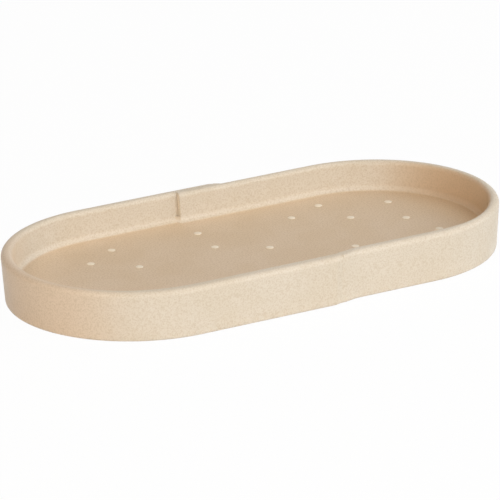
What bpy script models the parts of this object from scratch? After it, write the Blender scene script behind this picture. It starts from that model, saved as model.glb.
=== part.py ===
# Stoneware tray with straight long sides and round ends, hand built from clay pieces.
# Metres, +Z up. X runs along the tray, the near long wall is at -Y, and z = 0 is the face that it stands on.
import math

import bmesh
import bpy
from mathutils import Vector

# The plan: a straight run between two half circles
STRAIGHT_RUN = 0.1583       # between the centres of the two round ends
END_RADIUS = 0.0800         # left end, to the outside of the rim
LAP_STEP = 0.0037           # how far the right band stands inside the left one

# The wall
TRAY_HEIGHT = 0.0300
WALL_DRAFT = 0.0016         # how much further out the rim stands than the foot
LEFT_WALL = 0.0068
RIGHT_WALL = 0.0062
OUTER_RIM_ROUND = 0.0032
INNER_RIM_ROUND = 0.0028
FOOT_ROUND = 0.0016
LAP_EDGE_ROUND = 0.0004     # rim edges that meet inside the lap
SECTION_FLAT = 0.0002       # least flat left between two roundings

# The joints between the bands, as places along X from the middle of the straight run
OUTER_SEAM_X = 0.0140       # the left band ends here on both long sides
LAP_LENGTH = 0.0270         # the far arm of the right band runs on inside for this far
OUTER_EASE_LENGTH = 0.0070  # the ends of the left band are drawn in over this run
OUTER_EASE_DEPTH = 0.0029
INNER_EASE_LENGTH = 0.0030  # the ends of the right band are rounded on the inside
INNER_EASE_DEPTH = 0.0024
RIM_BLEND = 0.0040          # run in which a rim takes its full round again beside the lap

# The floor and what is on it
FLOOR_TOP = 0.0120
SLAB_THICKNESS = 0.0064
LEDGE_DEPTH = 0.0030        # step inside the foot of each band that carries the slab
LEDGE_SOFTENING = 0.0004
COIL_REACH = 0.0036         # how far the corner coil runs out over the floor
COIL_RISE = 0.0032          # how far it runs up the wall
COIL_LIP = 0.0003           # its thickness at both edges
COIL_JOG = 0.0020           # run in which it follows the step at an inner seam
DOT_RADIUS = 0.00235
DOT_HEIGHT = 0.0007

JOINT_GAP = 0.0003          # slip joint between any two pieces

# Dots: shares of the tray's half length and of the end radius, the last four close behind the near wall
DOT_PLACE_SHARES = (
    (-0.585, 0.420), (-0.449, 0.603), (-0.449, 0.168), (-0.088, 0.585), (-0.109, 0.245),
    (0.061, 0.016), (0.296, 0.509), (0.453, 0.643), (0.486, 0.272), (0.698, 0.429),
    (0.662, 0.044), (0.336, -0.303), (0.701, -0.308),
    (-0.578, -0.550), (-0.239, -0.650), (0.126, -0.550), (0.528, -0.725),
)
# Dot profile: shares of its radius and of its height, from the underside to the crown
DOT_PROFILE_SHARES = ((0.92, 0.0), (1.0, 0.32), (0.86, 0.68), (0.50, 0.93))

ARC_STEPS = 40
STRAIGHT_STEPS = 3
ROUND_STEPS = 4
EASE_STEPS = 5
DOT_SIDES = 16

HALF_RUN = STRAIGHT_RUN / 2
INNER_SEAM_X = OUTER_SEAM_X - LAP_LENGTH
RIGHT_RADIUS = END_RADIUS - LAP_STEP
CENTRE_SHIFT = LAP_STEP / 2     # brings the middle of the whole tray to X = 0
TONGUE = LAP_STEP - JOINT_GAP
TONGUE_RIM_ROUND = TONGUE - SECTION_FLAT - LAP_EDGE_ROUND
NEAR = -math.pi / 2
FAR = math.pi / 2


def clear_scene():
    for item in list(bpy.data.objects):
        bpy.data.objects.remove(item, do_unlink=True)


def clay(name, colour, roughness):
    material = bpy.data.materials.new(name)
    material.use_nodes = True
    shader = material.node_tree.nodes["Principled BSDF"]
    shader.inputs["Base Color"].default_value = (*colour, 1.0)
    shader.inputs["Roughness"].default_value = roughness
    shader.inputs["Metallic"].default_value = 0.0
    return material


def wall_clay():
    return clay("wall_glaze", (0.78, 0.68, 0.54), 0.42)


def floor_clay():
    return clay("floor_glaze", (0.77, 0.60, 0.43), 0.38)


def coil_clay():
    return clay("coil_glaze", (0.77, 0.66, 0.51), 0.40)


def dot_slip():
    return clay("pale_slip", (0.85, 0.76, 0.63), 0.45)


def outer_offset(z):
    """Where the outer face stands at height z, against the rim's own outline."""
    leaning = TRAY_HEIGHT - OUTER_RIM_ROUND - FOOT_ROUND
    share = (TRAY_HEIGHT - OUTER_RIM_ROUND - z) / leaning
    return -WALL_DRAFT * min(1.0, max(0.0, share))


def inner_offset(z, thickness):
    return outer_offset(z) - thickness


def place(x, angle, radius, offset, z):
    """A point at a station: x is on the middle line, angle is the way outwards."""
    reach = radius + offset
    return Vector((CENTRE_SHIFT + x + reach * math.cos(angle), reach * math.sin(angle), z))


def wall_section(thickness, ledge, rim_out, rim_in, ease_out=0.0, ease_in=0.0):
    """Outline of a band, cut across, as (offset, height): up the outside, over the rim, down to the foot."""
    room = thickness - ease_out - ease_in - SECTION_FLAT
    shrink = min(1.0, room / (rim_out + rim_in))
    out_round = rim_out * shrink
    in_round = rim_in * shrink
    foot_round = min(FOOT_ROUND, room)
    seat = FLOOR_TOP - SLAB_THICKNESS - JOINT_GAP
    points = []
    foot_centre = outer_offset(foot_round) - ease_out - foot_round
    for step in range(ROUND_STEPS):
        turn = -FAR + FAR * step / (ROUND_STEPS - 1)
        points.append((foot_centre + foot_round * math.cos(turn), foot_round + foot_round * math.sin(turn)))
    out_centre = outer_offset(TRAY_HEIGHT - out_round) - ease_out - out_round
    for step in range(ROUND_STEPS + 1):
        turn = FAR * step / ROUND_STEPS
        height = TRAY_HEIGHT - out_round + out_round * math.sin(turn)
        points.append((out_centre + out_round * math.cos(turn), height))
    in_centre = inner_offset(TRAY_HEIGHT - in_round, thickness) + ease_in + in_round
    for step in range(ROUND_STEPS + 1):
        turn = FAR + FAR * step / ROUND_STEPS
        height = TRAY_HEIGHT - in_round + in_round * math.sin(turn)
        points.append((in_centre + in_round * math.cos(turn), height))
    points.append((inner_offset(seat, thickness) + ease_in, seat))
    points.append((inner_offset(seat, thickness) + ease_in - ledge, seat - LEDGE_SOFTENING))
    points.append((inner_offset(0.0, thickness) + ease_in - ledge, 0.0))
    return points


def eased_end(length, depth):
    """Steps of a rounded end: (distance from the end, depth drawn in), from the end inwards."""
    steps = []
    for step in range(EASE_STEPS + 1):
        turn = FAR * step / EASE_STEPS
        steps.append((length * (1 - math.cos(turn)), depth * (1 - math.sin(turn))))
    return steps


def straight_places(start, end):
    """Places along a straight run, without its first one."""
    return [start + (end - start) * step / STRAIGHT_STEPS for step in range(1, STRAIGHT_STEPS + 1)]


def ring(x, angle, radius, section):
    return [place(x, angle, radius, offset, z) for offset, z in section]


def make_object(name, mesh_builder, material):
    """Wraps a bmesh in a named object with smooth round faces and its material."""
    bmesh.ops.recalc_face_normals(mesh_builder, faces=mesh_builder.faces)
    mesh = bpy.data.meshes.new(name)
    mesh_builder.to_mesh(mesh)
    mesh_builder.free()
    mesh.shade_smooth()
    mesh.set_sharp_from_angle(angle=math.radians(35))
    mesh.materials.append(material)
    piece = bpy.data.objects.new(name, mesh)
    bpy.context.scene.collection.objects.link(piece)
    return piece


def loft(name, rings, closed, material):
    """Skins neighbouring rings of points; an open run gets a cap at each end."""
    builder = bmesh.new()
    rows = [[builder.verts.new(point) for point in points] for points in rings]
    pairs = list(zip(rows, rows[1:]))
    if closed:
        pairs.append((rows[-1], rows[0]))
    for row, following in pairs:
        for index in range(len(row)):
            after = (index + 1) % len(row)
            builder.faces.new((row[index], row[after], following[after], following[index]))
    if not closed:
        builder.faces.new(rows[0])
        builder.faces.new(rows[-1])
    return make_object(name, builder, material)


def left_wall_band(material):
    """The outer band: near end, round the left end, then the tongue that laps outside the other band."""
    full = wall_section(LEFT_WALL, LEDGE_DEPTH, OUTER_RIM_ROUND, INNER_RIM_ROUND)
    rings = []
    for distance, depth in eased_end(OUTER_EASE_LENGTH, OUTER_EASE_DEPTH):
        section = wall_section(LEFT_WALL, LEDGE_DEPTH, OUTER_RIM_ROUND, INNER_RIM_ROUND, ease_out=depth)
        rings.append(ring(OUTER_SEAM_X - distance, NEAR, END_RADIUS, section))
    for x in straight_places(OUTER_SEAM_X - OUTER_EASE_LENGTH, -HALF_RUN):
        rings.append(ring(x, NEAR, END_RADIUS, full))
    for step in range(1, ARC_STEPS + 1):
        rings.append(ring(-HALF_RUN, NEAR - math.pi * step / ARC_STEPS, END_RADIUS, full))
    for x in straight_places(-HALF_RUN, INNER_SEAM_X - RIM_BLEND):
        rings.append(ring(x, FAR, END_RADIUS, full))
    blended = wall_section(LEFT_WALL, LEDGE_DEPTH, TONGUE_RIM_ROUND, INNER_RIM_ROUND)
    rings.append(ring(INNER_SEAM_X - 2 * JOINT_GAP, FAR, END_RADIUS, blended))
    tongue = wall_section(TONGUE, 0.0, TONGUE_RIM_ROUND, LAP_EDGE_ROUND)
    rings.append(ring(INNER_SEAM_X - JOINT_GAP, FAR, END_RADIUS, tongue))
    for distance, depth in reversed(eased_end(OUTER_EASE_LENGTH, OUTER_EASE_DEPTH)):
        section = wall_section(TONGUE, 0.0, TONGUE_RIM_ROUND, LAP_EDGE_ROUND, ease_out=depth)
        rings.append(ring(OUTER_SEAM_X - distance, FAR, END_RADIUS, section))
    return loft("left_wall_band", rings, False, material)


def right_wall_band(material):
    """The inner band: butted to the left one on the near side, lapped inside it on the far side."""
    full = wall_section(RIGHT_WALL, LEDGE_DEPTH, OUTER_RIM_ROUND, INNER_RIM_ROUND)
    rings = []
    near_end = OUTER_SEAM_X + JOINT_GAP
    for distance, depth in eased_end(INNER_EASE_LENGTH, INNER_EASE_DEPTH):
        section = wall_section(RIGHT_WALL, LEDGE_DEPTH, OUTER_RIM_ROUND, INNER_RIM_ROUND, ease_in=depth)
        rings.append(ring(near_end + distance, NEAR, RIGHT_RADIUS, section))
    for x in straight_places(near_end + INNER_EASE_LENGTH, HALF_RUN):
        rings.append(ring(x, NEAR, RIGHT_RADIUS, full))
    for step in range(1, ARC_STEPS + 1):
        rings.append(ring(HALF_RUN, NEAR + math.pi * step / ARC_STEPS, RIGHT_RADIUS, full))
    for x in straight_places(HALF_RUN, OUTER_SEAM_X + JOINT_GAP + RIM_BLEND):
        rings.append(ring(x, FAR, RIGHT_RADIUS, full))
    lapped = wall_section(RIGHT_WALL, LEDGE_DEPTH, LAP_EDGE_ROUND, INNER_RIM_ROUND)
    rings.append(ring(OUTER_SEAM_X + JOINT_GAP, FAR, RIGHT_RADIUS, lapped))
    for distance, depth in reversed(eased_end(INNER_EASE_LENGTH, INNER_EASE_DEPTH)):
        section = wall_section(RIGHT_WALL, LEDGE_DEPTH, LAP_EDGE_ROUND, INNER_RIM_ROUND, ease_in=depth)
        rings.append(ring(INNER_SEAM_X + distance, FAR, RIGHT_RADIUS, section))
    return loft("right_wall_band", rings, False, material)


def inside_path(jog):
    """Stations round the inside of both bands: (x, angle, radius, wall), with a jog at each inner seam."""
    right = (RIGHT_RADIUS, RIGHT_WALL)
    left = (END_RADIUS, LEFT_WALL)
    path = [(OUTER_SEAM_X, NEAR, *right)]
    path += [(x, NEAR, *right) for x in straight_places(OUTER_SEAM_X, HALF_RUN)]
    path += [(HALF_RUN, NEAR + math.pi * step / ARC_STEPS, *right) for step in range(1, ARC_STEPS + 1)]
    far_jog = INNER_SEAM_X - JOINT_GAP
    path += [(x, FAR, *right) for x in straight_places(HALF_RUN, far_jog)]
    path.append((far_jog - jog, FAR, *left))
    path += [(x, FAR, *left) for x in straight_places(far_jog - jog, -HALF_RUN)]
    path += [(-HALF_RUN, FAR + math.pi * step / ARC_STEPS, *left) for step in range(1, ARC_STEPS + 1)]
    path += [(x, NEAR, *left) for x in straight_places(-HALF_RUN, OUTER_SEAM_X - jog)]
    return path


def floor_slab(material):
    """One level slab, resting on the ledges of both bands."""
    underside = FLOOR_TOP - SLAB_THICKNESS
    outline = inside_path(0.0)
    rings = []
    for z in (underside, FLOOR_TOP):
        rings.append([
            place(x, angle, radius, inner_offset(z, wall) - JOINT_GAP, z)
            for x, angle, radius, wall in outline
        ])
    return loft("floor_slab", rings, False, material)


def coil_section(wall):
    """A hollow-faced fillet that fills the corner between a wall and the floor."""
    seat = FLOOR_TOP + JOINT_GAP
    back = inner_offset(seat, wall) - JOINT_GAP
    top_back = inner_offset(seat + COIL_RISE, wall) - JOINT_GAP
    points = [(back, seat), (top_back, seat + COIL_RISE)]
    for step in range(ROUND_STEPS):
        turn = FAR * step / (ROUND_STEPS - 1)
        offset = back - COIL_REACH + (COIL_REACH - COIL_LIP) * math.cos(turn)
        points.append((offset, seat + COIL_RISE - (COIL_RISE - COIL_LIP) * math.sin(turn)))
    points.append((back - COIL_REACH, seat))
    return points


def corner_coil(material):
    rings = [ring(x, angle, radius, coil_section(wall)) for x, angle, radius, wall in inside_path(COIL_JOG)]
    return loft("corner_coil", rings, True, material)


def slip_dot(name, x, y, material):
    """A low round drop of pale slip on the floor."""
    builder = bmesh.new()
    base = FLOOR_TOP + JOINT_GAP
    rows = []
    for reach_share, height_share in DOT_PROFILE_SHARES:
        row = []
        for side in range(DOT_SIDES):
            turn = 2 * math.pi * side / DOT_SIDES
            reach = DOT_RADIUS * reach_share
            height = base + DOT_HEIGHT * height_share
            row.append(builder.verts.new((x + reach * math.cos(turn), y + reach * math.sin(turn), height)))
        rows.append(row)
    for row, above in zip(rows, rows[1:]):
        for side in range(DOT_SIDES):
            after = (side + 1) % DOT_SIDES
            builder.faces.new((row[side], row[after], above[after], above[side]))
    crown = builder.verts.new((x, y, base + DOT_HEIGHT))
    for side in range(DOT_SIDES):
        builder.faces.new((rows[-1][side], rows[-1][(side + 1) % DOT_SIDES], crown))
    builder.faces.new(rows[0])
    return make_object(name, builder, material)


def slip_dots(material):
    half_length = HALF_RUN + END_RADIUS
    for number, (x_share, y_share) in enumerate(DOT_PLACE_SHARES, start=1):
        x = CENTRE_SHIFT + half_length * x_share
        slip_dot(f"slip_dot_{number:02d}", x, END_RADIUS * y_share, material)


def build_tray():
    clear_scene()
    walls = wall_clay()
    left_wall_band(walls)
    right_wall_band(walls)
    floor_slab(floor_clay())
    corner_coil(coil_clay())
    slip_dots(dot_slip())


build_tray()
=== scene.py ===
# Looks of the stoneware tray: smooth glazed pieces over the packed clay model, in soft studio light.
import math

import bmesh
import bpy
from mathutils import Matrix, Vector


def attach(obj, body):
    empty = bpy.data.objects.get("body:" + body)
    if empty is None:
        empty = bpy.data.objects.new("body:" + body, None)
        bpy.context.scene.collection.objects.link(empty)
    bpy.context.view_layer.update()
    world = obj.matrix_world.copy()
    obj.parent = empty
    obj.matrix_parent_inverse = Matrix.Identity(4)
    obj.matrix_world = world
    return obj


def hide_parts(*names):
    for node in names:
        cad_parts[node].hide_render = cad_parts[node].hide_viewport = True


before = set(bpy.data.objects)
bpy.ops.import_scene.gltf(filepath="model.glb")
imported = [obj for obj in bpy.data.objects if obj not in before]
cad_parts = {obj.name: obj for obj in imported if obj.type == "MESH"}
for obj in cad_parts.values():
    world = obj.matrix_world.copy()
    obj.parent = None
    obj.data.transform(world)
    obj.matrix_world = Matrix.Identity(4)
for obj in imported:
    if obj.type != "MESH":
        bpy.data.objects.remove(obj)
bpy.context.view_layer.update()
print("tray: frame loaded with", len(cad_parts), "clay pieces")

# What several pieces share, in metres and degrees, with the clay model's outline and heights
tray = {
    "middle": 0.00185,       # X of the middle of the straight run
    "halfRun": 0.07915,      # from there to the centre of each round end
    "height": 0.0300,
    "draft": 0.0016,         # how much further out the rim stands than the foot
    "outerRimRound": 0.0032,
    "innerRimRound": 0.0028,
    "footRound": 0.0016,
    "rimSteps": 8,
    "footSteps": 4,
    "turnSteps": 96,         # steps round each half circle
    "blendSteps": 4,
    "blendRun": 0.0040,      # run in which a rim changes its rounds beside the lap
    "outerSeam": 0.0140,     # along X from the middle of the run
    "innerSeam": -0.0130,
    "floorTop": 0.0120,
    "ledgeTop": 0.0053,      # the step inside the foot that carries the floor
    "ledgeDepth": 0.0030,
    "flat": 0.0002,          # least flat left between two roundings
    "seamGap": 0.00005,      # what the glaze leaves open on each side of the inner seam
    "softEdge": 0.0002,      # width, steps and least angle of the softening of sharp edges
    "softSteps": 2,
    "softAngle": 50,
    "smoothAngle": 40,       # edges under this angle are shaded smooth
}
near = -1                    # the near long side, as a sign of Y
tiny = 1e-6                  # lengths under this count as nothing
facing = 0.9                 # a face looks along a direction when its normal has this much of it
outerRim, innerRim, outerFoot, innerFoot = 1, 2, 3, 4    # lines of points that run along a band
wholeRing = (outerRim, innerRim, outerFoot, innerFoot)


def deselectAll():
    if bpy.context.mode != "OBJECT":
        bpy.ops.object.mode_set(mode="OBJECT")
    bpy.ops.object.select_all(action="DESELECT")


def applyPlace():
    bpy.ops.object.transform_apply(location=True, rotation=True, scale=True)


def pickVerts(test):    # test gets a point's place and the line that it belongs to
    bpy.ops.mesh.select_mode(type="VERT")
    bpy.ops.mesh.select_all(action="DESELECT")
    mesh = bmesh.from_edit_mesh(bpy.context.object.data)
    lines = mesh.verts.layers.int.get("line")
    for vert in mesh.verts:
        if test(vert.co, vert[lines] if lines else 0):
            vert.select_set(True)
    mesh.select_flush_mode()
    bmesh.update_edit_mesh(bpy.context.object.data)


def pickFaces(test):    # test gets a face's middle and its normal
    bpy.ops.mesh.select_mode(type="FACE")
    bpy.ops.mesh.select_all(action="DESELECT")
    mesh = bmesh.from_edit_mesh(bpy.context.object.data)
    for face in mesh.faces:
        if test(face.calc_center_median(), face.normal):
            face.select_set(True)
    bmesh.update_edit_mesh(bpy.context.object.data)


def pushOut(x=0.0, y=0.0, z=0.0):
    bpy.ops.mesh.extrude_region_move(TRANSFORM_OT_translate={"value": (x, y, z)})


def shove(x=0.0, y=0.0, z=0.0):
    bpy.ops.transform.translate(value=(x, y, z))


def cleanMesh():    # merges what lies together and turns the faces outwards
    bpy.ops.mesh.select_all(action="SELECT")
    bpy.ops.mesh.remove_doubles(threshold=tiny)
    bpy.ops.mesh.normals_make_consistent(inside=False)


def finishPiece(name, node, material, angle):    # leaves edit mode and hands the piece over
    bpy.ops.object.mode_set(mode="OBJECT")
    piece = bpy.context.object
    piece.name = piece.data.name = name
    if piece.data.attributes.get("line"):
        piece.data.attributes.remove(piece.data.attributes["line"])
    bpy.ops.object.shade_smooth_by_angle(angle=math.radians(angle))
    piece.data.materials.clear()
    piece.data.materials.append(material)
    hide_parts(node)
    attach(piece, "root")


# Wall bands: a rounded section, pushed and spun along the plan, with its ends drawn in
def startBand(x, radius, wall):
    deselectAll()
    middleY = -radius + wall / 2
    bpy.ops.mesh.primitive_plane_add(
        size=1, location=(x, middleY, tray["height"] / 2), rotation=(0, math.pi / 2, 0))
    bpy.context.object.scale = (tray["height"], wall, 1)
    applyPlace()
    bpy.ops.object.mode_set(mode="EDIT")
    pickVerts(lambda co, line: co.z > tiny and co.y < middleY)
    bpy.ops.mesh.bevel(offset=tray["outerRimRound"], segments=tray["rimSteps"], affect="VERTICES")
    pickVerts(lambda co, line: co.z > tiny and co.y > middleY + wall / 2 - tiny)
    bpy.ops.mesh.bevel(offset=tray["innerRimRound"], segments=tray["rimSteps"], affect="VERTICES")
    pickVerts(lambda co, line: co.z < tiny and co.y < middleY)
    bpy.ops.mesh.bevel(offset=tray["footRound"], segments=tray["footSteps"], affect="VERTICES")
    mesh = bmesh.from_edit_mesh(bpy.context.object.data)
    lines = mesh.verts.layers.int.new("line")
    for vert in mesh.verts:
        outside = vert.co.y < tray["outerRimRound"] + tray["flat"] / 2 - radius
        if vert.co.z > tray["height"] / 2:
            vert[lines] = outerRim if outside else innerRim
        else:
            vert[lines] = outerFoot if outside else innerFoot
    pickVerts(lambda co, line: line in (outerFoot, innerFoot))
    shove(y=tray["draft"])


def bandEnd(x, side, radius, wall):    # the ring at a working end, and the shape that it has there
    return {
        "x": x, "side": side, "radius": radius, "wall": wall,
        "outerArc": tray["outerRimRound"], "innerArc": tray["innerRimRound"], "footArc": tray["footRound"],
        "outerIn": 0.0, "innerIn": 0.0,
    }


def pickEnd(end, names=wholeRing):
    pickVerts(lambda co, line: abs(co.x - end["x"]) < tiny and co.y * end["side"] > 0 and line in names)


def runOn(end, x):    # pushes the ring straight along the tray to a new place
    pickEnd(end)
    pushOut(x=x - end["x"])
    end["x"] = x


def turnRound(end, centre, angle):    # spin counts its angle clockwise
    pickEnd(end)
    bpy.ops.mesh.spin(steps=tray["turnSteps"], angle=-angle, center=(centre, 0, 0), axis=(0, 0, 1))
    end["side"] = -end["side"]


def reshapeEnd(end, outerIn, innerIn, outerRound, innerRound):    # draws in its faces, sizes its arcs
    side = end["side"]
    room = end["wall"] - outerIn - innerIn - tray["flat"]
    shrink = min(1.0, room / (outerRound + innerRound))
    outerFace = side * (end["radius"] - end["outerIn"])
    innerFace = side * (end["radius"] - end["wall"] + end["innerIn"])
    corners = (    # a line, its arc, the arc's new size, and Y and Z of the corner that it rounds
        (outerRim, "outerArc", outerRound * shrink, outerFace, tray["height"]),
        (innerRim, "innerArc", innerRound * shrink, innerFace, tray["height"]),
        (outerFoot, "footArc", min(tray["footRound"], room), outerFace - side * tray["draft"], 0.0),
    )
    for name, arc, size, y, z in corners:
        if abs(size - end[arc]) > tiny:
            ratio = size / end[arc]
            pickEnd(end, (name,))
            bpy.ops.transform.resize(value=(1, ratio, ratio), center_override=(end["x"], y, z))
            end[arc] = size
    for names, key, drawn, way in (
        ((outerRim, outerFoot), "outerIn", outerIn, -side),
        ((innerRim, innerFoot), "innerIn", innerIn, side),
    ):
        if abs(drawn - end[key]) > tiny:
            pickEnd(end, names)
            shove(y=way * (drawn - end[key]))
            end[key] = drawn


def easeEnd(end, way, ease, outerRound, innerRound):    # draws one face in, round or as a ramp
    start, outerStart, innerStart = end["x"], end["outerIn"], end["innerIn"]
    for step in range(1, ease["steps"] + 1):
        share = step / ease["steps"]
        if ease["form"] == "ramp":
            along, drawn = share, (1 - math.cos(math.pi * share)) / 2
        else:
            along, drawn = math.sin(math.pi / 2 * share), 1 - math.cos(math.pi / 2 * share)
        runOn(end, start + way * ease["length"] * along)
        outerIn = outerStart + (ease["depth"] * drawn if ease["face"] == "outer" else 0.0)
        innerIn = innerStart + (0.0 if ease["face"] == "outer" else ease["depth"] * drawn)
        reshapeEnd(end, outerIn, innerIn, outerRound, innerRound)


def blendRounds(end, x, outerRound, innerRound):    # runs on while the rim's two rounds change
    start = end["x"]
    outerStart, innerStart = end["outerArc"], end["innerArc"]
    for step in range(1, tray["blendSteps"] + 1):
        share = step / tray["blendSteps"]
        runOn(end, start + (x - start) * share)
        reshapeEnd(
            end, end["outerIn"], end["innerIn"],
            outerStart + (outerRound - outerStart) * share, innerStart + (innerRound - innerStart) * share)


def swellLines(names, test, swell):    # moves some lines of the band across it, fading out along them
    pickVerts(lambda co, line: line not in names)
    bpy.ops.mesh.hide(unselected=False)
    pickVerts(lambda co, line: test(co))
    bpy.ops.transform.translate(
        value=(0, swell["shift"], 0), use_proportional_edit=True, proportional_edit_falloff="SMOOTH",
        proportional_size=swell["fade"])
    bpy.ops.mesh.reveal(select=False)


def facesInside(middle, normal):    # whether a face of the wall looks in over the floor
    along = middle.x - tray["middle"]
    if abs(along) > tray["halfRun"]:
        out = Vector((along - math.copysign(tray["halfRun"], along), middle.y, 0)).normalized()
    else:
        out = Vector((0, math.copysign(1, middle.y), 0))
    return normal.dot(out) < -facing


def addLedge(test):    # pushes the foot of the inner face in, to carry the floor
    cleanMesh()
    bpy.ops.mesh.bisect(plane_co=(0, 0, tray["ledgeTop"]), plane_no=(0, 0, 1))
    pickFaces(
        lambda middle, normal: middle.z < tray["ledgeTop"] and facesInside(middle, normal) and test(middle))
    bpy.ops.mesh.extrude_region_shrink_fatten(
        TRANSFORM_OT_shrink_fatten={"value": tray["ledgeDepth"], "use_even_offset": True})


def softenEdges():    # a narrow bevel along every sharp edge, as glaze leaves it
    bpy.ops.object.mode_set(mode="OBJECT")
    bpy.ops.object.modifier_add(type="BEVEL")
    bevel = bpy.context.object.modifiers[-1]
    bevel.width = tray["softEdge"]
    bevel.segments = tray["softSteps"]
    bevel.limit_method = "ANGLE"
    bevel.angle_limit = math.radians(tray["softAngle"])
    bpy.ops.object.modifier_apply(modifier=bevel.name)
    bpy.ops.object.mode_set(mode="EDIT")
    cleanMesh()


leftBand = {
    "radius": 0.0800,
    "wall": 0.0068,
    "tongue": 0.00375,       # what is left of the wall where it laps over the other band
    "tongueEdge": 0.00015,   # round of the tongue's edge against that band
    "farShort": 0.0020,      # the tongue stops this far before the seam
    "swell": {"shift": 0.0019, "fade": 0.0700},    # the near rim is this much thicker
    # the step down to the tongue, the tongue's end, and the end at the near joint
    "shoulder": {"length": 0.0006, "depth": 0.0001, "steps": 4, "face": "inner", "form": "round"},
    "farEase": {"length": 0.0052, "depth": 0.0029, "steps": 10, "face": "outer", "form": "round"},
    "nearEase": {"length": 0.0060, "depth": 0.0014, "steps": 12, "face": "outer", "form": "ramp"},
}


def leftWallBand(material):    # near end, round the left end, then the tongue outside the lap
    sizes = leftBand
    nearEase, farEase = sizes["nearEase"], sizes["farEase"]
    seam = tray["middle"] + tray["outerSeam"]
    shoulder = tray["middle"] + tray["innerSeam"]
    centre = tray["middle"] - tray["halfRun"]
    start = seam - nearEase["length"]
    outerRound, innerRound = tray["outerRimRound"], tray["innerRimRound"]
    lapped = sizes["wall"] - sizes["tongue"]
    tongueRound = sizes["tongue"] - tray["flat"] - sizes["tongueEdge"]
    startBand(start, sizes["radius"], sizes["wall"])
    nearEnd = bandEnd(start, near, sizes["radius"], sizes["wall"])
    farEnd = dict(nearEnd)
    runOn(farEnd, centre)
    turnRound(farEnd, centre, -math.pi)
    runOn(farEnd, shoulder - tray["blendRun"])
    blendRounds(farEnd, shoulder - sizes["shoulder"]["length"], tongueRound, innerRound)
    easeEnd(farEnd, 1, sizes["shoulder"], tongueRound, innerRound)
    runOn(farEnd, shoulder + tray["seamGap"])
    reshapeEnd(farEnd, 0.0, lapped, tongueRound, sizes["tongueEdge"])
    runOn(farEnd, seam - sizes["farShort"] - farEase["length"])
    easeEnd(farEnd, 1, farEase, tongueRound, sizes["tongueEdge"])
    easeEnd(nearEnd, 1, nearEase, outerRound, innerRound)
    swellLines((innerRim,), lambda co: co.y < 0 and co.x > centre - tiny, sizes["swell"])
    addLedge(lambda middle: middle.y < 0 or middle.x < shoulder - sizes["shoulder"]["length"])
    cleanMesh()
    softenEdges()
    finishPiece("leftWall", "left_wall_band", material, tray["smoothAngle"])


rightBand = {
    "radius": 0.0763,
    "wall": 0.0062,
    "lapEdge": 0.00015,      # outer rim edge inside the lap
    "swell": {"shift": 0.0019, "fade": 0.0400},
    "outerSwell": {"shift": -0.0023, "fade": 0.0130},    # brings its face out to the left band's
    # the end inside the tray, and the end at the near joint
    "farEase": {"length": 0.0028, "depth": 0.0003, "steps": 8, "face": "inner", "form": "round"},
    "nearEase": {"length": 0.0140, "depth": 0.0031, "steps": 20, "face": "inner", "form": "ramp"},
}


def rightWallBand(material):    # butted to the left band on the near side, lapped inside it on the far one
    sizes = rightBand
    nearEase, farEase = sizes["nearEase"], sizes["farEase"]
    seam = tray["middle"] + tray["outerSeam"]
    shoulder = tray["middle"] + tray["innerSeam"]
    centre = tray["middle"] + tray["halfRun"]
    start = seam + nearEase["length"]
    outerRound, innerRound = tray["outerRimRound"], tray["innerRimRound"]
    startBand(start, sizes["radius"], sizes["wall"])
    nearEnd = bandEnd(start, near, sizes["radius"], sizes["wall"])
    farEnd = dict(nearEnd)
    runOn(farEnd, centre)
    turnRound(farEnd, centre, math.pi)
    runOn(farEnd, seam + tray["blendRun"])
    blendRounds(farEnd, seam, sizes["lapEdge"], innerRound)
    runOn(farEnd, shoulder + tray["seamGap"] + farEase["length"])
    easeEnd(farEnd, -1, farEase, sizes["lapEdge"], innerRound)
    easeEnd(nearEnd, -1, nearEase, outerRound, innerRound)
    swellLines((innerRim,), lambda co: co.y < 0 and co.x < centre + tiny, sizes["swell"])
    swellLines((outerRim, outerFoot), lambda co: co.y < 0 and co.x < seam + tiny, sizes["outerSwell"])
    addLedge(lambda middle: True)
    cleanMesh()
    softenEdges()
    finishPiece("rightWall", "right_wall_band", material, tray["smoothAngle"])


coil = {
    "hollow": 0.0038,        # radius of its hollow face
    "turn": 80,              # degrees through which that face turns, from the wall down to the floor
    "sunk": 0.0003,          # how deep its back and underside sit in the wall and the floor
    "jog": 0.0020,           # length in which it passes from one band to the other at the inner seam
    "arcPoints": 72,         # round a whole circle
    "smoothAngle": 50,
}
coilRise = coil["hollow"] * math.sin(math.radians(coil["turn"]))
coilReach = coil["hollow"] * (1 - math.cos(math.radians(coil["turn"])))


def innerFaceAt(radius, wall):    # where a wall's inner face stands at the top of the coil
    height = tray["floorTop"] + coilRise
    lean = tray["draft"] * (tray["height"] - tray["outerRimRound"] - height)
    lean /= tray["height"] - tray["outerRimRound"] - tray["footRound"]
    return radius - wall - lean


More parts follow.
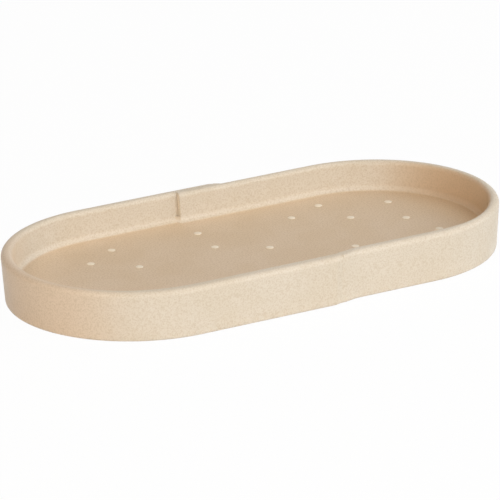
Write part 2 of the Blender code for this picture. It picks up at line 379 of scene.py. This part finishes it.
def cornerCoil(material):    # hollow fillet that runs round the foot of both walls
    inRight = innerFaceAt(rightBand["radius"], rightBand["wall"])
    inLeft = innerFaceAt(leftBand["radius"], leftBand["wall"])
    bandStep = inLeft - inRight
    seam = tray["middle"] + tray["outerSeam"]
    shoulder = tray["middle"] + tray["innerSeam"]
    centreY = -inRight + coil["hollow"]
    centreZ = tray["floorTop"] + coilRise
    start = seam + rightBand["nearEase"]["length"]    # up to here it follows the right band's ease
    deselectAll()
    bpy.ops.mesh.primitive_circle_add(
        vertices=coil["arcPoints"], radius=coil["hollow"], fill_type="NOTHING",
        location=(start, centreY, centreZ), rotation=(0, math.pi / 2, 0))
    applyPlace()
    bpy.ops.object.mode_set(mode="EDIT")
    pickVerts(lambda co, line: co.y > centreY or co.z > centreZ + tiny or co.z < tray["floorTop"] - tiny)
    bpy.ops.mesh.delete(type="VERT")
    pickVerts(lambda co, line: co.z > centreZ - tiny)
    pushOut(y=-coil["sunk"])
    pushOut(z=-coilRise - coil["sunk"])
    pushOut(y=coilReach + coil["sunk"])
    pickVerts(lambda co, line: True)
    bpy.ops.mesh.edge_face_add()
    right = tray["middle"] + tray["halfRun"]
    left = tray["middle"] - tray["halfRun"]
    pushOut(x=right - start)
    bpy.ops.mesh.spin(steps=tray["turnSteps"], angle=-math.pi, center=(right, 0, 0), axis=(0, 0, 1))
    pushOut(x=shoulder - right)
    pushOut(x=-coil["jog"], y=bandStep)
    pushOut(x=left - shoulder + coil["jog"])
    bpy.ops.mesh.spin(steps=tray["turnSteps"], angle=-math.pi, center=(left, 0, 0), axis=(0, 0, 1))
    pushOut(x=seam - left)
    cleanMesh()
    pickFaces(lambda middle, normal: (
        middle.y < 0 and abs(normal.x) > facing and seam - tiny < middle.x < start + tiny))
    bpy.ops.mesh.bridge_edge_loops()
    cleanMesh()
    finishPiece("cornerCoil", "corner_coil", material, coil["smoothAngle"])


dots = {
    "radius": 0.00235,
    "height": 0.0004,
    "sides": 24,
    "sunk": 0.0002,
    "smoothAngle": 60,
    # profile from the floor up: shares of the radius and of the height
    "profileShares": ((1.0, 0.30), (0.93, 0.62), (0.78, 0.84), (0.55, 0.96), (0.28, 1.0)),
    # places: shares of the tray's half length and of the end radius
    "placeShares": (
        (-0.585, 0.420), (-0.449, 0.603), (-0.449, 0.168), (-0.088, 0.585), (-0.109, 0.245),
        (0.061, 0.016), (0.296, 0.509), (0.453, 0.643), (0.486, 0.272), (0.698, 0.429),
        (0.662, 0.044), (0.336, -0.303), (0.701, -0.308),
        (-0.578, -0.550), (-0.239, -0.650), (0.126, -0.550), (0.528, -0.725),
    ),
}


def slipDots(material):    # one low drop of slip, then a copy for each place
    deselectAll()
    bpy.ops.mesh.primitive_circle_add(
        vertices=dots["sides"], radius=dots["radius"], fill_type="NGON",
        location=(0, 0, tray["floorTop"] - dots["sunk"]))
    applyPlace()
    first = bpy.context.object
    bpy.ops.object.mode_set(mode="EDIT")
    reach, level = 1.0, tray["floorTop"] - dots["sunk"]
    for reachShare, heightShare in dots["profileShares"]:
        pickFaces(lambda middle, normal: abs(middle.z - level) < tiny and abs(normal.z) > facing)
        rise = tray["floorTop"] + dots["height"] * heightShare
        pushOut(z=rise - level)
        ratio = reachShare / reach
        bpy.ops.transform.resize(value=(ratio, ratio, 1), center_override=(0, 0, rise))
        reach, level = reachShare, rise
    bpy.ops.mesh.poke()
    cleanMesh()
    bpy.ops.object.mode_set(mode="OBJECT")
    halfLength = tray["halfRun"] + leftBand["radius"]
    for number, (alongShare, acrossShare) in enumerate(dots["placeShares"], start=1):
        deselectAll()
        first.select_set(True)
        bpy.context.view_layer.objects.active = first
        bpy.ops.object.duplicate(linked=False)
        dot = bpy.context.object
        dot.location = (tray["middle"] + halfLength * alongShare, leftBand["radius"] * acrossShare, 0)
        applyPlace()
        bpy.ops.object.mode_set(mode="EDIT")
        finishPiece(
            f"slipDot{number:02d}", f"slip_dot_{number:02d}", material, dots["smoothAngle"])
    bpy.data.objects.remove(first)


def floorSlab(material):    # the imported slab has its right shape, and only takes its glaze
    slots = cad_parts["floor_slab"].data.materials
    slots.clear()
    slots.append(material)


# Shader sums are written as plain expressions on wires
class Wire:
    def __init__(self, paint, socket):
        self.paint, self.socket = paint, socket

    def combine(self, operation, first, second):
        return self.paint.add("ShaderNodeMath", {"operation": operation}, {0: first, 1: second})

    def __add__(self, other):
        return self.combine("ADD", self, other)

    def __sub__(self, other):
        return self.combine("SUBTRACT", self, other)

    def __rsub__(self, other):
        return self.combine("SUBTRACT", other, self)

    def __mul__(self, other):
        return self.combine("MULTIPLY", self, other)

    __radd__ = __add__
    __rmul__ = __mul__


class Paint:    # the nodes of one material, or of the world
    def __init__(self, owner):
        owner.use_nodes = True
        self.owner = owner
        self.nodes = owner.node_tree.nodes
        self.links = owner.node_tree.links
        self.nodes.clear()

    def add(self, kind, settings=None, values=None, output=0):
        node = self.nodes.new(kind)
        for key, value in (settings or {}).items():
            setattr(node, key, value)
        for key, value in (values or {}).items():
            if isinstance(value, Wire):
                self.links.new(value.socket, node.inputs[key])
            elif isinstance(value, tuple) and len(value) == 3 and node.inputs[key].type == "RGBA":
                node.inputs[key].default_value = (*value, 1.0)
            else:
                node.inputs[key].default_value = value
        return Wire(self, node.outputs[output]) if node.outputs else None

    def beside(self, wire, output):    # another output of the node that a wire comes from
        return Wire(self, wire.socket.node.outputs[output])

    def mix(self, factor, first, second):    # sockets 6 and 7 take the colours, and output 2 mixes them
        return self.add(
            "ShaderNodeMix", {"data_type": "RGBA"}, {"Factor": factor, 6: first, 7: second}, 2)

    def noise(self, place, scale, detail, rough):
        values = {"Vector": place, "Scale": scale, "Detail": detail, "Roughness": rough}
        return self.add("ShaderNodeTexNoise", {}, values)

    def ease(self, value, low, high, start=0.0, end=1.0):    # smooth step from low to high
        return self.add(
            "ShaderNodeMapRange", {"interpolation_type": "SMOOTHSTEP"},
            {"Value": value, "From Min": low, "From Max": high, "To Min": start, "To Max": end})

    def close(self, surface):
        self.add("ShaderNodeOutputMaterial", {}, {"Surface": surface})
        return self.owner


wallLooks = {
    "pale": (0.750, 0.675, 0.564),
    "tan": (0.730, 0.650, 0.531),
    # painted shade: the left end warmer, for the warm shade on its side turned from the key light
    "leftEndPaintedShade": (0.772, 0.630, 0.486),
    # painted shade: the inside of the right end darker and browner, where little light reaches
    "rightEndPaintedShade": (0.690, 0.510, 0.345),
    "endShadeFrom": 0.112,        # painted shade: from here to the far end of each round the colour turns to the end colours, warmer at the left end and darker inside the right one
    "endShadeTo": 0.152,
    "rightShadeInside": 0.0705,     # the right end's painted shade lies only inside the wall, as a distance from the centre of the round
    "rightShadeOutside": 0.0725,
    "fleck": (0.520, 0.397, 0.250),
    "speck": (0.360, 0.235, 0.120),
    # patterns: scale is patches per metre, and the pattern shows between two levels of its noise
    "mottle": {"scale": 45.0, "detail": 3.0, "rough": 0.5, "from": 0.35, "to": 0.68},
    "grain": {"scale": 1000.0, "detail": 2.0, "rough": 0.6, "from": 0.38, "to": 0.72},
    "relief": {"scale": 350.0, "detail": 3.0, "rough": 0.5, "grainShare": 0.35, "speckShare": 0.4},
    # a speck is full up to inner and gone at outer, and shows where its chance is above rarest
    "specks": {"scale": 560.0, "inner": 0.10, "outer": 0.24, "rarest": 0.62, "fullest": 0.95},
    "fleckShare": 0.40,
    "speckShare": 0.22,
    "roughness": {"least": 0.35, "mottleShare": 0.06, "fleckShare": 0.10},
    "gloss": 0.20,
    "bump": 0.00002,
}
floorLooks = {
    **wallLooks,
    "pale": (0.752, 0.607, 0.448),
    "tan": (0.729, 0.580, 0.414),
    # painted shade: warmer over the left end, as on the walls
    "leftEndPaintedShade": (0.747, 0.574, 0.397),
    # painted shade: darker inside the right end, as on the walls
    "rightEndPaintedShade": (0.735, 0.560, 0.376),
    "fleck": (0.540, 0.395, 0.250),
    "fleckShare": 0.60,
    "speckShare": 0.20,
}
coilLooks = {
    **wallLooks,
    # painted highlight: paler than the wall's glaze, for the light that the hollow of the fillet catches
    "pale": (0.780, 0.702, 0.590),
    "tan": (0.760, 0.680, 0.560),
    # painted shade: darker inside the right end, as on the walls
    "rightEndPaintedShade": (0.680, 0.505, 0.345),
    "low": (0.735, 0.590, 0.434),
    "lowest": 0.0120,
    "highest": 0.0127,
    "speckShare": 0.15,
}
slipLooks = {
    **wallLooks,
    "pale": (0.930, 0.840, 0.700),
    "tan": (0.915, 0.815, 0.670),
    # painted shade: warmer over the left end, as on the walls
    "leftEndPaintedShade": (0.925, 0.815, 0.660),
    # painted shade: darker inside the right end, as on the walls
    "rightEndPaintedShade": (0.925, 0.810, 0.645),
    "fleck": (0.780, 0.660, 0.520),
    "fleckShare": 0.12,
    "speckShare": 0.0,
}


def satinGlaze(name, looks):    # mottled sand glaze with fine flecks and sparse brown specks
    paint = Paint(bpy.data.materials.new(name))
    place = paint.add("ShaderNodeTexCoord", output="Object")
    patches, grains, specks, relief = looks["mottle"], looks["grain"], looks["specks"], looks["relief"]
    cloud = paint.noise(place, patches["scale"], patches["detail"], patches["rough"])
    mottle = paint.ease(cloud, patches["from"], patches["to"])
    grain = paint.noise(place, grains["scale"], grains["detail"], grains["rough"])
    flecks = paint.ease(grain, grains["from"], grains["to"]) * looks["fleckShare"]
    cells = {"Vector": place, "Scale": specks["scale"], "Randomness": 1.0}
    away = paint.add("ShaderNodeTexVoronoi", {}, cells, "Distance")
    chance = paint.add("ShaderNodeSeparateColor", {}, {"Color": paint.beside(away, "Color")}, "Red")
    kept = paint.ease(chance, specks["rarest"], specks["fullest"])
    spots = paint.ease(away, specks["inner"], specks["outer"], 1.0, 0.0) * kept
    colour = paint.mix(mottle, looks["pale"], looks["tan"])
    along = paint.add("ShaderNodeSeparateXYZ", {}, {"Vector": place}, "X")
    # painted shade: the colour turns warmer over the left end
    colour = paint.mix(paint.ease(along, -looks["endShadeFrom"], -looks["endShadeTo"]), colour, looks["leftEndPaintedShade"])
    # painted shade: inside the right end the colour turns darker and browner
    plan = paint.add("ShaderNodeVectorMath", {"operation": "MULTIPLY"}, {0: place, 1: (1.0, 1.0, 0.0)})
    centre = (tray["middle"] + tray["halfRun"], 0.0, 0.0)
    reach = paint.add("ShaderNodeVectorMath", {"operation": "DISTANCE"}, {0: plan, 1: centre}, "Value")
    inside = paint.ease(reach, looks["rightShadeInside"], looks["rightShadeOutside"], 1.0, 0.0)
    inside = inside * paint.ease(along, looks["endShadeFrom"], looks["endShadeTo"])
    colour = paint.mix(inside, colour, looks["rightEndPaintedShade"])
    if "low" in looks:    # the glaze runs thin and tan towards the floor
        level = paint.beside(along, "Z")
        colour = paint.mix(paint.ease(level, looks["lowest"], looks["highest"]), looks["low"], colour)
    colour = paint.mix(flecks, colour, looks["fleck"])
    colour = paint.mix(spots * looks["speckShare"], colour, looks["speck"])
    ripple = paint.noise(place, relief["scale"], relief["detail"], relief["rough"])
    height = ripple + grain * relief["grainShare"] - spots * relief["speckShare"]
    bump = paint.add("ShaderNodeBump", {}, {"Height": height, "Distance": looks["bump"], "Strength": 1.0})
    rough = looks["roughness"]
    shader = paint.add("ShaderNodeBsdfPrincipled", {}, {
        "Base Color": colour,
        "Roughness": mottle * rough["mottleShare"] + flecks * rough["fleckShare"] + rough["least"],
        "Specular IOR Level": looks["gloss"],
        "Normal": bump,
    })
    return paint.close(shader)


# Stage: pale floor, soft light and the photograph's camera
stage = {
    "floorSize": 12.0,
    "floorDrop": 0.0002,     # how far below the tray's foot it lies
    "floorColour": (0.88, 0.88, 0.88),
    "whiteShare": 0.97,      # how much of what the camera sees of the floor is plain white
    "sky": 0.03,             # strength of the sky's light on the tray
}
lamps = {    # degrees, metres and watts; azimuth 0 is straight in front, 90 to the right
    "key": {"azimuth": 34, "elevation": 26, "size": 1.1, "power": 10.0, "tint": (1.0, 1.0, 1.0)},
    "front": {"azimuth": -33, "elevation": 8, "size": 0.5, "power": 8.5, "tint": (1.0, 1.0, 1.0)},
    "top": {"azimuth": 20, "elevation": 54, "size": 1.1, "power": 7.1, "tint": (1.0, 1.0, 1.0)},
    "left": {"azimuth": -70, "elevation": 42, "size": 0.8, "power": 11.7, "tint": (1.0, 0.84, 0.67)},
    "right": {"azimuth": 75, "elevation": 20, "size": 0.8, "power": 6.6, "tint": (1.0, 1.0, 1.0)},
    "back": {"azimuth": 112, "elevation": 50, "size": 0.8, "power": 4.2, "tint": (1.0, 1.0, 1.0)},
}
lampDistance = 1.8
camera = {    # degrees and metres, with the lens and its sensor in millimetres
    "azimuth": -28.99,
    "elevation": 19.49,
    "roll": -1.351,
    "distance": 2.99425,
    "aim": (0.01598, 0.03347, 0.0),
    "lens": 360.0,
    "sensor": 36.0,
    "clipEnd": 20.0,
}


def whiteRays(paint):    # 1 for the rays by which the camera, gloss and glass see the stage
    seen = paint.add("ShaderNodeLightPath", output="Is Camera Ray")
    gloss, glass = paint.beside(seen, "Is Glossy Ray"), paint.beside(seen, "Is Transmission Ray")
    return paint.add("ShaderNodeMath", {"operation": "ADD", "use_clamp": True}, {0: seen, 1: gloss + glass})


def studioFloor():
    deselectAll()
    bpy.ops.mesh.primitive_plane_add(size=stage["floorSize"], location=(0, 0, -stage["floorDrop"]))
    applyPlace()
    floor = bpy.context.object
    floor.name = "studioFloor"
    paint = Paint(bpy.data.materials.new("paleFloor"))
    plain = paint.add("ShaderNodeBsdfDiffuse", {}, {"Color": stage["floorColour"]})
    white = paint.add("ShaderNodeEmission", {}, {"Color": (1.0, 1.0, 1.0), "Strength": 1.0})
    share = whiteRays(paint) * stage["whiteShare"]
    surface = paint.add("ShaderNodeMixShader", {}, {0: share, 1: plain, 2: white})
    floor.data.materials.append(paint.close(surface))


def studioSky():
    world = bpy.data.worlds.new("studioSky")
    bpy.context.scene.world = world
    paint = Paint(world)
    strength = whiteRays(paint) * (1.0 - stage["sky"]) + stage["sky"]
    sky = paint.add("ShaderNodeBackground", {}, {"Color": (1.0, 1.0, 1.0), "Strength": strength})
    paint.add("ShaderNodeOutputWorld", {}, {"Surface": sky})


def wayTo(place):    # the direction from the tray towards a lamp or the camera
    azimuth, elevation = math.radians(place["azimuth"]), math.radians(place["elevation"])
    level = math.cos(elevation)
    return Vector((math.sin(azimuth) * level, -math.cos(azimuth) * level, math.sin(elevation)))


def studioLamps():
    for name, lamp in lamps.items():
        way = wayTo(lamp)
        light = bpy.data.lights.new(name, "AREA")
        light.shape = "DISK"
        light.size = lamp["size"]
        light.energy = lamp["power"]
        light.color = lamp["tint"]
        holder = bpy.data.objects.new(name, light)
        bpy.context.scene.collection.objects.link(holder)
        holder.location = way * lampDistance
        holder.rotation_euler = way.to_track_quat("Z", "Y").to_euler()


def photoCamera():
    roll = math.radians(camera["roll"])
    back = wayTo(camera)
    level = (-back).cross(Vector((0, 0, 1))).normalized()
    upright = level.cross(-back)
    right = math.cos(roll) * level + math.sin(roll) * upright
    up = math.cos(roll) * upright - math.sin(roll) * level
    data = bpy.data.cameras.new("photoCamera")
    data.lens, data.sensor_width = camera["lens"], camera["sensor"]
    data.clip_end = camera["clipEnd"]
    holder = bpy.data.objects.new("photoCamera", data)
    bpy.context.scene.collection.objects.link(holder)
    pose = Matrix((right, up, back)).transposed().to_4x4()
    pose.translation = Vector(camera["aim"]) + back * camera["distance"]
    holder.matrix_world = pose
    bpy.context.scene.camera = holder


photoCamera()
print("tray: camera set")
wallGlaze = satinGlaze("sandGlaze", wallLooks)
floorGlaze = satinGlaze("tanFloorGlaze", floorLooks)
coilGlaze = satinGlaze("coilGlaze", coilLooks)
paleSlip = satinGlaze("paleSlip", slipLooks)
print("tray: glazes mixed")
leftWallBand(wallGlaze)
rightWallBand(wallGlaze)
print("tray: wall bands made")
cornerCoil(coilGlaze)
floorSlab(floorGlaze)
slipDots(paleSlip)
print("tray: floor, corner coil and dots made")
studioFloor()
studioSky()
studioLamps()
deselectAll()
bpy.context.scene.view_settings.view_transform = "Standard"
print("tray: stage set")
